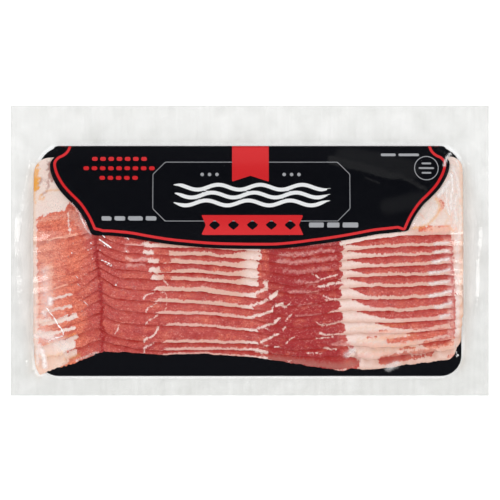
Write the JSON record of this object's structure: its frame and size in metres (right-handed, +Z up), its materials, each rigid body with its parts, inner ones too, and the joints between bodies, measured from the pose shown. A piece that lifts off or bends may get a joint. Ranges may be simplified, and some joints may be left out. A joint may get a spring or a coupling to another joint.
{
  "type": "bacon pack",
  "caption": "Flat vacuum-sealed pack of shingled bacon slices on a black card that folds over their back edge as a shaped flap, all in clear film.",
  "frame": {"origin": "middle of the underside, under the middle of the film", "axes": "+X along the slices, towards the right end seen from above; +Y up the pack's face, towards the card's flap; +Z up out of the shown face"},
  "size_m": [0.292, 0.177, 0.0237],
  "materials": {
    "film": "clear vacuum film, milky in its sealed margins",
    "card": "black coated board, slightly glossy, printed flap",
    "bacon": "moist cured pork, pink-red lean with white fat"
  },
  "bodies": {
    "root": {"film": "film", "card": "card", "slice_01": "bacon", "slice_02": "bacon", "slice_03": "bacon", "slice_04": "bacon", "slice_05": "bacon", "slice_06": "bacon", "slice_07": "bacon", "slice_08": "bacon", "slice_09": "bacon", "slice_10": "bacon", "slice_11": "bacon", "slice_12": "bacon", "slice_13": "bacon"}
  },
  "joints": []
}
